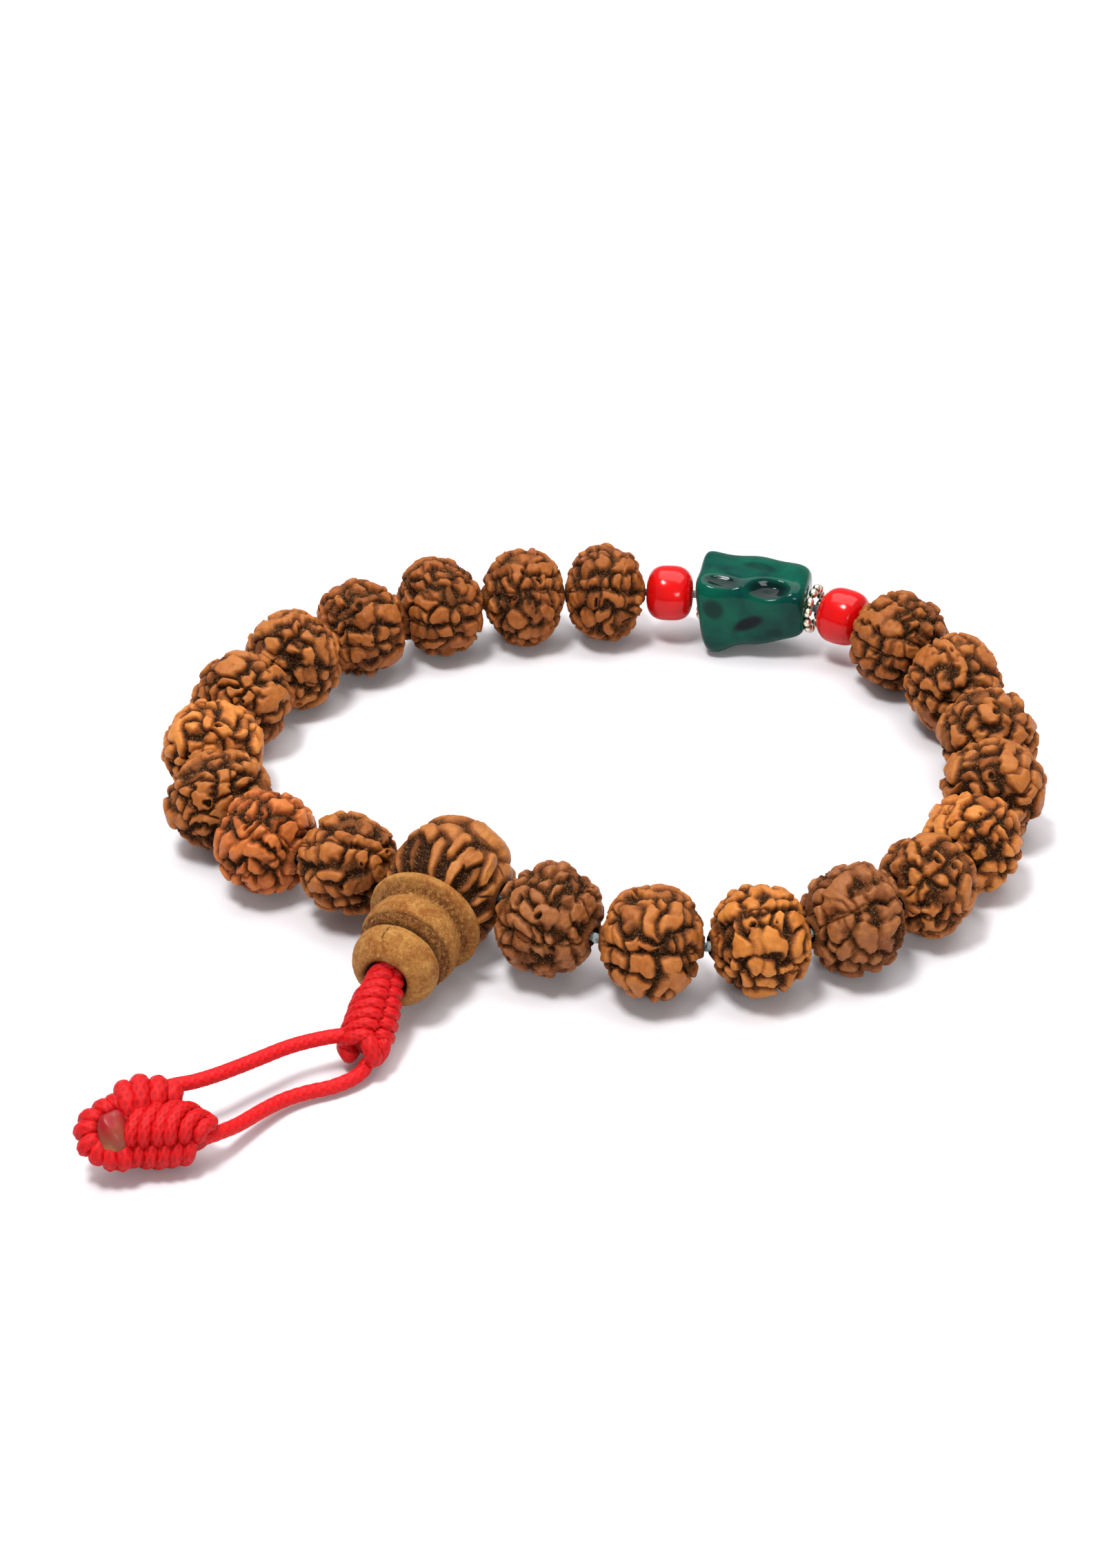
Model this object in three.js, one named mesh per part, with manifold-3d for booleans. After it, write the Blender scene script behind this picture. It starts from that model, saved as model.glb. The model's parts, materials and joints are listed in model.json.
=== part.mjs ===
// A wrist mala: a ring of drilled seeds on an elastic, with a guru seed, a pagoda bead, a knotted
// tail loop and a small group of counter beads. Millimetres, +Z up. The ring lies flat on z = 0
// with its box centred on the origin, and the tail points away from it towards -Y.
import * as THREE from 'three';
import { mergeVertices } from 'three/addons/utils/BufferGeometryUtils.js';
import Module from 'manifold-3d';

const wasm = await Module();
wasm.setup();

// ---------------------------------------------------------------- driving dimensions

const SEAT_GAP = 0.3; // clearance kept between pieces that touch on the real object
const ELASTIC_RADIUS = 0.4;
const SEED_BORE_RADIUS = 0.8;
const GURU_BORE_RADIUS = 1.5;
const KNOT_RADIUS = 1.1; // the elastic's knot, inside the guru seed
const TAIL_CORD_RADIUS = 0.6;

// The elastic's route in plan, anticlockwise from the guru seed.
const RING_ROUTE = [
  [-12.8, -21.8], [-5.2, -27.6], [4.2, -30.8], [21.4, -27.2], [33.4, -15.3],
  [37.4, -0.6], [34.9, 14.2], [27.4, 24.6], [15.0, 29.8], [-8.0, 30.0],
  [-20.2, 26.2], [-29.8, 18.0], [-35.7, 7.4], [-36.8, -2.6], [-34.3, -10.9],
  [-28.7, -16.6], [-20.8, -19.6],
];

// Seeds in order from the guru seed: [length along the elastic, diameter].
const SEEDS_BEFORE = [
  [8.6, 10.0], [8.7, 10.0], [8.5, 10.0], [8.7, 9.9], [8.1, 9.3],
  [8.2, 9.3], [8.6, 9.8], [9.4, 9.8], [9.6, 9.8], [9.3, 10.2],
];
const SEEDS_AFTER = [
  [8.1, 10.5], [8.4, 10.2], [8.8, 10.4], [8.8, 10.3], [8.5, 10.2],
  [8.8, 10.0], [9.0, 10.1], [8.1, 9.9], [8.2, 10.0], [8.7, 9.2],
];
const SLACK_AROUND_SEED = { seed_01: 0.2, seed_02: 0.6, seed_18: 0.2 }; // bare elastic beyond the gap

const GURU = { length: 10.4, diameter: 11.8 };
const CORAL = { length: 4.7, diameter: 5.8 };
const SPACER = { length: 0.9, diameter: 5.2, boreRadius: 1.2, granules: 12, granuleDepth: 0.45 };
const NUGGET = { length: 10.6, start: 6.2, end: 9.0, boreRadius: 0.9, cornerPower: 3.2 };
const COUNTER_HEIGHT = 5.1; // the elastic's height through the counter group

const LOBES = 5; // seams of a rudraksha seed
const SEAM_DEPTH = 0.45;
const SEAM_WIDTH = 0.16; // radians
const LUMP_DEPTH = 0.4;

// The pagoda bead: [distance from the guru seed's centre, radius] along its outside.
const PAGODA_AXIS = new THREE.Vector3(-0.37, -0.925, -0.085).normalize();
const PAGODA_OUTLINE = [
  [4.95, 4.6], [5.25, 4.95], [5.85, 5.0], [6.25, 4.65], [6.9, 3.95], [7.5, 4.1], [8.6, 4.25],
  [9.6, 3.95], [10.05, 3.7], [10.3, 3.25], [10.55, 3.45], [11.3, 3.65], [12.2, 3.6],
  [12.9, 3.25], [13.35, 2.7],
];
const PAGODA_BORE_RADIUS = 1.15;
const PAGODA_SEAT_RADIUS = GURU.diameter / 2 + SEAT_GAP; // hollow base that sits over the seed
const MOUTH_DISTANCE = 13.4; // the tail's pivot, on the pagoda bead's axis
const MOUTH_RADIUS = 2.2;
const CORE_CORD_RADIUS = 0.85;

// The tail: a stem knot, a loop of two strands and an end knot of two fused columns.
const STEM_END = new THREE.Vector3(-19.7, -40.3, 2.3);
const STEM = { neckRadius: 1.6, radius: 1.95, ridges: 6, ridgeDepth: 0.2 };
const STRAND_REAR = [
  [-22.2, -40.45, 3.1], [-24.2, -41.2, 3.2], [-27.7, -43.6, 3.5], [-30.5, -46.0, 3.9],
  [-32.35, -47.55, 4.1],
];
const STRAND_FRONT = [
  [-20.7, -42.75, 1.1], [-22.2, -43.9, 0.95], [-25.4, -45.7, 1.1], [-28.6, -48.9, 1.9],
  [-30.5, -51.45, 2.45],
];
const COLUMN_FRONT = { start: [-33.4, -52.5, 2.75], end: [-37.6, -52.8, 2.75], radius: 2.65 };
const COLUMN_REAR = { start: [-34.3, -49.2, 4.1], end: [-39.2, -51.9, 3.7], radius: 2.2 };
const MELTED_END = { centre: [-38.8, -53.9, 4.0], radius: 0.95 };

// ---------------------------------------------------------------- materials

const finish = (color, roughness, metalness = 0) => (
  new THREE.MeshStandardMaterial({ color, roughness, metalness })
);

const seedFinish = () => finish(0xa8642c, 0.55);
const woodFinish = () => finish(0xc08a45, 0.7);
const coralFinish = () => finish(0xd8161c, 0.2);
const silverFinish = () => finish(0xb9b4a6, 0.35, 1);
const nuggetFinish = () => finish(0x0d5c4b, 0.15);
const elasticFinish = () => finish(0xa9adb0, 0.3);
const cordFinish = () => finish(0xd4141b, 0.65);
const meltedFinish = () => finish(0x8a4a2c, 0.25);

// ---------------------------------------------------------------- geometry helpers

const vector = ([x, y, z]) => new THREE.Vector3(x, y, z);

// A shared-vertex copy that holds nothing but positions.
function welded(geometry) {
  const bare = geometry.clone();
  bare.deleteAttribute('normal');
  bare.deleteAttribute('uv');
  return mergeVertices(bare, 1e-4);
}

function toSolid(geometry) {
  const mesh = welded(geometry);
  return new wasm.Manifold(new wasm.Mesh({
    numProp: 3,
    vertProperties: new Float32Array(mesh.attributes.position.array),
    triVerts: new Uint32Array(mesh.index.array),
  }));
}

function toGeometry(solid) {
  const { vertProperties, triVerts } = solid.getMesh();
  const geometry = new THREE.BufferGeometry();
  geometry.setAttribute('position', new THREE.BufferAttribute(new Float32Array(vertProperties), 3));
  geometry.setIndex(new THREE.BufferAttribute(new Uint32Array(triVerts), 1));
  return geometry;
}

// Turns a shape made along +Y so that it lies along a direction, at a place.
function layAlong(geometry, direction, place) {
  const turn = new THREE.Quaternion().setFromUnitVectors(new THREE.Vector3(0, 1, 0), direction);
  return geometry.applyQuaternion(turn).translate(place.x, place.y, place.z);
}

// Revolves a closed [distance, radius] outline about +Y.
function revolved(outline, segments) {
  const points = outline.map(([along, radius]) => new THREE.Vector2(radius, along));
  return welded(new THREE.LatheGeometry([...points, points[0].clone()], segments));
}

// Moves each vertex outside the bore in or out: reach(angle, along, radius) gives its new radius.
function reshaped(geometry, boreRadius, reach) {
  const position = geometry.attributes.position;
  for (let i = 0; i < position.count; i += 1) {
    const x = position.getX(i);
    const z = position.getZ(i);
    const radius = Math.hypot(x, z);
    if (radius > boreRadius + 0.05) {
      const scale = reach(Math.atan2(z, x), position.getY(i), radius) / radius;
      position.setX(i, x * scale);
      position.setZ(i, z * scale);
    }
  }
  return geometry;
}

// A drilled bead's outline: an ellipse from one mouth of the bore to the other.
function ovalOutline(length, diameter, boreRadius, steps) {
  const start = Math.asin((2 * boreRadius) / diameter);
  const outline = [];
  for (let i = 0; i <= steps; i += 1) {
    const angle = start + ((Math.PI - 2 * start) * i) / steps;
    outline.push([(-0.5 * length * Math.cos(angle)) / Math.cos(start), 0.5 * diameter * Math.sin(angle)]);
  }
  return outline;
}

// A route through given points, with one section at each point, square to the bend there.
class PointRoute extends THREE.Curve {
  constructor(points) {
    super();
    this.points = points;
  }

  getPoint(t) {
    const place = t * (this.points.length - 1);
    const i = Math.min(Math.floor(place), this.points.length - 2);
    return this.points[i].clone().lerp(this.points[i + 1], place - i);
  }

  getPointAt(u) {
    return this.getPoint(u);
  }

  getTangentAt(u) {
    const i = Math.round(u * (this.points.length - 1));
    const before = this.points[Math.max(i - 1, 0)];
    const after = this.points[Math.min(i + 1, this.points.length - 1)];
    return after.clone().sub(before).normalize();
  }
}

function tube(route, radius, steps, sides = 8) {
  const section = new THREE.Shape(Array.from({ length: sides }, (_, i) => {
    const angle = (2 * Math.PI * i) / sides;
    return new THREE.Vector2(radius * Math.cos(angle), radius * Math.sin(angle));
  }));
  return new THREE.ExtrudeGeometry(section, { steps, bevelEnabled: false, extrudePath: route });
}

// ---------------------------------------------------------------- beads of the ring, made along +Y

function seedGeometry({ length, diameter, turn, segments, steps, boreRadius }) {
  const outline = ovalOutline(length, diameter, boreRadius, steps);
  return reshaped(revolved(outline, segments), boreRadius, (angle, along, radius) => {
    const phase = (((angle * LOBES) / (2 * Math.PI)) % 1 + 1.5) % 1 - 0.5;
    const offset = (phase * 2 * Math.PI) / LOBES;
    const seam = SEAM_DEPTH * Math.exp(-((offset / SEAM_WIDTH) ** 2));
    const lump = 0.5 + 0.5 * Math.sin(7 * angle + 2.1 * along + turn) * Math.cos(1.7 * along + 2 * turn);
    const taper = (2 * (radius - boreRadius)) / diameter;
    return radius - taper * (seam + LUMP_DEPTH * lump);
  });
}

function coralGeometry() {
  const { length, diameter } = CORAL;
  const radius = diameter / 2;
  const half = length / 2;
  return revolved([
    [-half, SEED_BORE_RADIUS], [-half, 0.4 * radius], [-0.85 * half, 0.75 * radius],
    [-0.45 * half, 0.97 * radius], [0, radius], [0.45 * half, 0.97 * radius],
    [0.85 * half, 0.75 * radius], [half, 0.4 * radius], [half, SEED_BORE_RADIUS],
  ], 16);
}

function spacerGeometry() {
  const { length, diameter, boreRadius, granules, granuleDepth } = SPACER;
  const half = length / 2;
  const radius = diameter / 2;
  const ring = revolved([
    [-half, boreRadius], [-half, 0.72 * radius], [-0.5 * half, 0.93 * radius], [0, radius],
    [0.5 * half, 0.93 * radius], [half, 0.72 * radius], [half, boreRadius],
  ], 2 * granules);
  const dip = (angle) => granuleDepth * (0.5 + 0.5 * Math.cos(granules * angle));
  return reshaped(ring, boreRadius, (angle, along, reach) => reach - dip(angle));
}

// A block with rounded corners that swells from one end to the other.
function nuggetGeometry() {
  const { length, start, end, boreRadius, cornerPower } = NUGGET;
  const half = length / 2;
  const face = 0.8; // width of an end face as a share of the block's width there
  const outline = [
    [-half, boreRadius], [-half, face], [-half + 0.5, 1], [-half + 3, 1], [0, 1], [half - 3, 1],
    [half - 0.6, 1], [half, face], [half, boreRadius],
  ];
  const unit = outline.map(([along, share]) => {
    const width = start + ((end - start) * (along + half)) / length;
    return [along, share === boreRadius ? boreRadius : (share * width) / 2];
  });
  return reshaped(revolved(unit, 24), boreRadius, (angle, along, radius) => {
    const c = Math.abs(Math.cos(angle)) ** cornerPower;
    const s = Math.abs(Math.sin(angle)) ** cornerPower;
    return radius / (c + s) ** (1 / cornerPower);
  });
}

// ---------------------------------------------------------------- layout along the elastic

const seedBead = (number, [length, diameter]) => ({
  name: `seed_${String(number).padStart(2, '0')}`,
  length,
  height: diameter / 2,
  material: seedFinish(),
  geometry: seedGeometry({
    length, diameter, turn: number, segments: 20, steps: 7, boreRadius: SEED_BORE_RADIUS,
  }),
});

const counterBead = (name, length, material, geometry) => (
  { name, length, height: COUNTER_HEIGHT, material, geometry }
);

const guru = {
  name: 'guru_seed',
  length: GURU.length,
  height: GURU.diameter / 2,
  material: seedFinish(),
  geometry: seedGeometry({ ...GURU, turn: 0, segments: 25, steps: 9, boreRadius: GURU_BORE_RADIUS }),
};

const beads = [
  guru,
  ...SEEDS_BEFORE.map((size, i) => seedBead(i + 1, size)),
  counterBead('coral_bead_right', CORAL.length, coralFinish(), coralGeometry()),
  counterBead('silver_spacer_right', SPACER.length, silverFinish(), spacerGeometry()),
  counterBead('green_nugget_bead', NUGGET.length, nuggetFinish(), nuggetGeometry()),
  counterBead('silver_spacer_left', SPACER.length, silverFinish(), spacerGeometry()),
  counterBead('coral_bead_left', CORAL.length, coralFinish(), coralGeometry()),
  ...SEEDS_AFTER.map((size, i) => seedBead(i + 1 + SEEDS_BEFORE.length, size)),
];

// The taut elastic lifts a small bead to the mean height of its two neighbours.
function hangingHeights() {
  return beads.map((bead, i) => {
    const before = beads[(i + beads.length - 1) % beads.length];
    const after = beads[(i + 1) % beads.length];
    return Math.max(bead.height, (before.height + after.height) / 2);
  });
}

// Spaces the beads evenly round the route. The elastic bends only between beads, at joints that
// lie on the route, and each bead sits midway between its two joints.
function threadBeads() {
  const points = RING_ROUTE.map(([x, y]) => new THREE.Vector3(x, y, 0));
  const route = new THREE.CatmullRomCurve3(points, true, 'centripetal');
  route.arcLengthDivisions = 2000;
  const total = route.getLength();
  const slack = (bead) => SLACK_AROUND_SEED[bead.name] ?? 0;
  const filled = beads.reduce((sum, bead) => sum + bead.length + slack(bead), 0);
  const gap = (total - filled) / beads.length;
  const heights = hangingHeights();
  let along = -(guru.length + gap) / 2;
  const joints = beads.map((bead, i) => {
    const joint = route.getPointAt((along / total + 1) % 1);
    joint.z = (heights[i] + heights[(i + beads.length - 1) % beads.length]) / 2;
    along += bead.length + gap + slack(bead);
    return joint;
  });
  beads.forEach((bead, i) => {
    const next = joints[(i + 1) % beads.length];
    bead.centre = joints[i].clone().lerp(next, 0.5);
    bead.centre.z = heights[i];
    bead.axis = next.clone().sub(joints[i]).normalize();
  });
}

threadBeads();

// ---------------------------------------------------------------- scene graph

const mala = new THREE.Group();

function addMesh(name, geometry, material) {
  const mesh = new THREE.Mesh(welded(geometry), material);
  mesh.name = name;
  mala.add(mesh);
  return mesh;
}

function addTurned(name, geometry, material, axis, centre) {
  const mesh = addMesh(name, geometry, material);
  mesh.position.copy(centre);
  mesh.quaternion.setFromUnitVectors(new THREE.Vector3(0, 1, 0), axis);
  return mesh;
}

// The guru seed has a third hole, from its centre out towards the pagoda bead.
function addGuru() {
  const reach = GURU.diameter;
  const localExit = PAGODA_AXIS.clone().applyQuaternion(
    new THREE.Quaternion().setFromUnitVectors(guru.axis, new THREE.Vector3(0, 1, 0)),
  );
  const drill = new THREE.CylinderGeometry(GURU_BORE_RADIUS, GURU_BORE_RADIUS, reach, 16);
  layAlong(drill, localExit, localExit.clone().multiplyScalar(reach / 2));
  const drilled = toSolid(guru.geometry).subtract(toSolid(drill));
  addTurned(guru.name, toGeometry(drilled), guru.material, guru.axis, guru.centre);
}

function addBeads() {
  beads.filter((bead) => bead !== guru).forEach(({ name, geometry, material, axis, centre }) => {
    addTurned(name, geometry, material, axis, centre);
  });
}

const alongBead = (bead, distance) => bead.centre.clone().addScaledVector(bead.axis, distance);

function addElastic() {
  const inner = KNOT_RADIUS + SEAT_GAP;
  const points = [alongBead(guru, inner), alongBead(guru, guru.length / 2)];
  beads.slice(1).forEach((bead) => {
    points.push(alongBead(bead, -bead.length / 2), alongBead(bead, bead.length / 2));
  });
  points.push(alongBead(guru, -guru.length / 2), alongBead(guru, -inner));
  const cord = tube(new PointRoute(points), ELASTIC_RADIUS, points.length - 1);
  addMesh('elastic_cord', cord, elasticFinish());
  const knot = addMesh('elastic_knot', new THREE.SphereGeometry(KNOT_RADIUS, 12, 8), elasticFinish());
  knot.position.copy(guru.centre);
}

// The point on the pagoda bead's axis at a distance from the guru seed's centre.
const alongPagoda = (distance) => guru.centre.clone().addScaledVector(PAGODA_AXIS, distance);

function addPagoda() {
  const seat = [];
  const base = PAGODA_OUTLINE[0][0];
  const wide = Math.acos(base / PAGODA_SEAT_RADIUS);
  const narrow = Math.asin(PAGODA_BORE_RADIUS / PAGODA_SEAT_RADIUS);
  for (let i = 0; i <= 4; i += 1) {
    const angle = narrow + ((wide - narrow) * i) / 4;
    seat.push([PAGODA_SEAT_RADIUS * Math.cos(angle), PAGODA_SEAT_RADIUS * Math.sin(angle)]);
  }
  const recess = [];
  const deepest = Math.asin(PAGODA_BORE_RADIUS / MOUTH_RADIUS);
  for (let i = 0; i <= 3; i += 1) {
    const angle = deepest + ((Math.PI / 2 - deepest) * (3 - i)) / 3;
    recess.push([MOUTH_DISTANCE - MOUTH_RADIUS * Math.cos(angle), MOUTH_RADIUS * Math.sin(angle)]);
  }
  const outline = [...seat, ...PAGODA_OUTLINE, ...recess];
  const bead = revolved(outline, 24);
  addTurned('pagoda_bead', bead, woodFinish(), PAGODA_AXIS, guru.centre);
}

// The tail's cord inside the pagoda bead, from beside the elastic's knot to the stem knot.
function addCoreCord() {
  const start = alongPagoda(KNOT_RADIUS + SEAT_GAP + 0.1);
  const end = alongPagoda(MOUTH_DISTANCE - STEM.neckRadius - SEAT_GAP);
  const route = new PointRoute([start, start.clone().lerp(end, 0.5), end]);
  addMesh('tail_core_cord', tube(route, CORE_CORD_RADIUS, 2), cordFinish());
}

// A round-ended column with ridges between two points.
function columnGeometry(start, end, startRadius, endRadius, ridges, ridgeDepth, segments = 12) {
  const direction = end.clone().sub(start);
  const length = direction.length();
  direction.normalize();
  const outline = [];
  for (let i = 0; i <= 3; i += 1) {
    const angle = (Math.PI / 2) * (i / 4);
    outline.push([-startRadius * Math.cos(angle), startRadius * Math.sin(angle)]);
  }
  const steps = 2 * ridges;
  for (let i = 0; i <= steps; i += 1) {
    const share = i / steps;
    const swell = Math.min(1, share * ridges);
    const radius = startRadius + (endRadius - startRadius) * swell;
    outline.push([length * share, radius - (i % 2) * ridgeDepth]);
  }
  for (let i = 1; i <= 4; i += 1) {
    const angle = (Math.PI / 2) * (1 - i / 4);
    outline.push([length + endRadius * Math.cos(angle), endRadius * Math.sin(angle)]);
  }
  outline[0][1] = 0;
  outline[outline.length - 1][1] = 0;
  const points = outline.map(([along, radius]) => new THREE.Vector2(radius, along));
  return layAlong(welded(new THREE.LatheGeometry(points, segments)), direction, start);
}

function addStemKnot() {
  const stem = columnGeometry(
    alongPagoda(MOUTH_DISTANCE), STEM_END, STEM.neckRadius, STEM.radius, STEM.ridges, STEM.ridgeDepth,
  );
  addMesh('tail_stem_knot', stem, cordFinish());
}

function addStrand(name, points) {
  const route = new THREE.CatmullRomCurve3(points.map(vector), false, 'centripetal');
  addMesh(name, tube(route, TAIL_CORD_RADIUS, 8), cordFinish());
}

function addEndKnot() {
  const [front, rear] = [COLUMN_FRONT, COLUMN_REAR].map(({ start, end, radius }) => (
    toSolid(columnGeometry(vector(start), vector(end), radius, radius, 3, 0.2))
  ));
  const socket = new THREE.SphereGeometry(MELTED_END.radius + SEAT_GAP, 12, 8);
  socket.translate(...MELTED_END.centre);
  const knot = front.add(rear).subtract(toSolid(socket));
  addMesh('tail_end_knot', toGeometry(knot), cordFinish());
  const blob = new THREE.SphereGeometry(MELTED_END.radius, 10, 8);
  addMesh('tail_melted_end', blob, meltedFinish()).position.set(...MELTED_END.centre);
}

addGuru();
addBeads();
addElastic();
addPagoda();
addCoreCord();
addStemKnot();
addStrand('tail_strand_rear', STRAND_REAR);
addStrand('tail_strand_front', STRAND_FRONT);
addEndKnot();

export default mala;
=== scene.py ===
import json
import math

import bpy
import numpy as np
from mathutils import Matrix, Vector


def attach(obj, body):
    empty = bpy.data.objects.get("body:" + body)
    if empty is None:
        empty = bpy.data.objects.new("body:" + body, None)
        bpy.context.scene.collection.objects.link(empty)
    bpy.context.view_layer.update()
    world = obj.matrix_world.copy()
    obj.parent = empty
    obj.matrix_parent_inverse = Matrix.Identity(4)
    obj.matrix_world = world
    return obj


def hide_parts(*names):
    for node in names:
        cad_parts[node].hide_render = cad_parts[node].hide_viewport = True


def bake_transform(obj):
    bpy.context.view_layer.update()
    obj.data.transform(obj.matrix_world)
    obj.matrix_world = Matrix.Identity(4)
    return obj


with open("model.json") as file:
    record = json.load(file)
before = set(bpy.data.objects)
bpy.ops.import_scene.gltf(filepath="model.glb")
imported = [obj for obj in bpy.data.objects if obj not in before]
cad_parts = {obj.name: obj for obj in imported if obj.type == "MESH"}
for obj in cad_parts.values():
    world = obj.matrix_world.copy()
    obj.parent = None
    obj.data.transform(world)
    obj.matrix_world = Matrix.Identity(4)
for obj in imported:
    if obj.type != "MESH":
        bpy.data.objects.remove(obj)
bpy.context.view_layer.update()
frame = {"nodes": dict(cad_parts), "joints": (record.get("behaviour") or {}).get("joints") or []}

MM = 0.001  # shapes are worked out in millimetres and scaled when their mesh is made
UP = np.array((0.0, 0.0, 1.0))


# -------------------- camera, floor and lights

CAMERA_ELEVATION = math.radians(33.12)
CAMERA_DISTANCE = 246.3 * MM
CAMERA_TARGET = Vector((-3.7, 2.05, 0.0)) * MM
CAMERA_LENS = 58.77
SENSOR_WIDTH = 36
NEAREST_SEEN = 0.005
FLOOR_REACH = 3.0


def link(obj):
    bpy.context.scene.collection.objects.link(obj)
    return obj


def make_camera():
    data = bpy.data.cameras.new("camera")
    data.lens = CAMERA_LENS
    data.sensor_width = SENSOR_WIDTH
    data.clip_start = NEAREST_SEEN
    camera = link(bpy.data.objects.new("camera", data))
    back = Vector((0, -math.cos(CAMERA_ELEVATION), math.sin(CAMERA_ELEVATION)))
    camera.location = CAMERA_TARGET + back * CAMERA_DISTANCE
    camera.rotation_euler = (math.pi / 2 - CAMERA_ELEVATION, 0, 0)
    bpy.context.scene.camera = camera


def area_light(name, place, target, size, power):
    data = bpy.data.lights.new(name, "AREA")
    data.shape = "RECTANGLE"
    data.size, data.size_y = size
    data.energy = power
    light = link(bpy.data.objects.new(name, data))
    light.location = place
    light.rotation_euler = (Vector(target) - Vector(place)).to_track_quat("-Z", "Y").to_euler()


def make_stage():
    world = bpy.data.worlds.new("studio")
    bpy.context.scene.world = world
    world.use_nodes = True
    background = world.node_tree.nodes["Background"]
    background.inputs["Color"].default_value = (1.0, 0.985, 1.0, 1)
    background.inputs["Strength"].default_value = 0.40
    area_light("key", (-0.10, -0.08, 0.42), (0, 0, 0), (0.11, 0.09), 1.6)
    area_light("top", (0.05, 0.22, 0.55), (0, 0.10, 0), (0.70, 0.50), 3.6)
    area_light("front", (0.16, -0.45, 0.24), (0, 0, 0), (0.16, 0.12), 0.8)
    mesh = bpy.data.meshes.new("floor")
    corners = [(x * FLOOR_REACH, y * FLOOR_REACH, 0)
               for x, y in ((-1, -1), (1, -1), (1, 1), (-1, 1))]
    mesh.from_pydata(corners, [], [(0, 1, 2, 3)])
    floor = link(bpy.data.objects.new("floor", mesh))
    paper = Shader("white_paper", (0.71, 0.695, 0.715), 0.6, Specular_IOR_Level=0.2)
    grain = paper.add("ShaderNodeTexNoise", Scale=900.0, Detail=2.0)
    paper.wire(paper.position, grain, "Vector")
    paper.bump(grain.outputs[0], 0.04, 0.02)
    mesh.materials.append(paper.material)


# -------------------- shaders

def from_screen(*rgb):
    """A colour given in 0-255 screen values, as linear light."""
    shares = [value / 255 for value in rgb]
    return tuple(s / 12.92 if s < 0.04045 else ((s + 0.055) / 1.055) ** 2.4 for s in shares)


class Shader:
    """A material round one Principled shader. Textures are placed in the piece's own metres, and
    colours given to ramp and mix are 0-255 screen values."""

    def __init__(self, name, color, roughness, **sockets):
        self.material = bpy.data.materials.new(name)
        self.material.use_nodes = True
        self.tree = self.material.node_tree
        self.surface = self.tree.nodes["Principled BSDF"]
        self.surface.inputs["Base Color"].default_value = (*color, 1)
        self.surface.inputs["Roughness"].default_value = roughness
        for socket, value in sockets.items():
            self.surface.inputs[socket.replace("_", " ")].default_value = value
        self.position = self.tree.nodes.new("ShaderNodeTexCoord").outputs["Object"]

    def add(self, kind, **inputs):
        made = self.tree.nodes.new(kind)
        for socket, value in inputs.items():
            made.inputs[socket.replace("_", " ")].default_value = value
        return made

    def wire(self, source, target, socket):
        self.tree.links.new(source, target.inputs[socket])

    def noise(self, size_mm, detail=3.0, roughness=0.5, distortion=0.0):
        made = self.add("ShaderNodeTexNoise", Scale=1000.0 / size_mm, Detail=detail,
                        Roughness=roughness, Distortion=distortion)
        self.wire(self.position, made, "Vector")
        return made.outputs[0]

    def attribute(self, name):
        made = self.tree.nodes.new("ShaderNodeAttribute")
        made.attribute_name = name
        return made.outputs["Fac"]

    def ramp(self, source, stops):
        """A colour or grey that runs through (place, colour) stops."""
        made = self.tree.nodes.new("ShaderNodeValToRGB")
        while len(made.color_ramp.elements) < len(stops):
            made.color_ramp.elements.new(0.5)
        for element, (place, color) in zip(made.color_ramp.elements, stops):
            element.position = place
            light = from_screen(*color) if isinstance(color, tuple) else (color,) * 3
            element.color = (*light, 1)
        self.wire(source, made, "Fac")
        return made.outputs["Color"]

    def math(self, operation, first, second):
        made = self.tree.nodes.new("ShaderNodeMath")
        made.operation = operation
        for i, value in enumerate((first, second)):
            if isinstance(value, (int, float)):
                made.inputs[i].default_value = value
            else:
                self.tree.links.new(value, made.inputs[i])
        return made.outputs[0]

    def mix(self, share, first, second, blend="MIX"):
        made = self.tree.nodes.new("ShaderNodeMix")
        made.data_type = "RGBA"
        made.blend_type = blend
        for name, value in (("Factor_Float", share), ("A_Color", first), ("B_Color", second)):
            socket = next(s for s in made.inputs if s.identifier == name)
            if isinstance(value, (int, float)):
                socket.default_value = value
            elif isinstance(value, tuple):
                socket.default_value = (*from_screen(*value), 1)
            else:
                self.tree.links.new(value, socket)
        return next(s for s in made.outputs if s.identifier == "Result_Color")

    def color(self, source):
        self.wire(source, self.surface, "Base Color")

    def roughness(self, source):
        self.wire(source, self.surface, "Roughness")

    def bump(self, source, height_mm, strength=1.0):
        made = self.add("ShaderNodeBump", Strength=strength, Distance=height_mm * MM)
        self.wire(source, made, "Height")
        self.wire(made.outputs[0], self.surface, "Normal")


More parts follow.
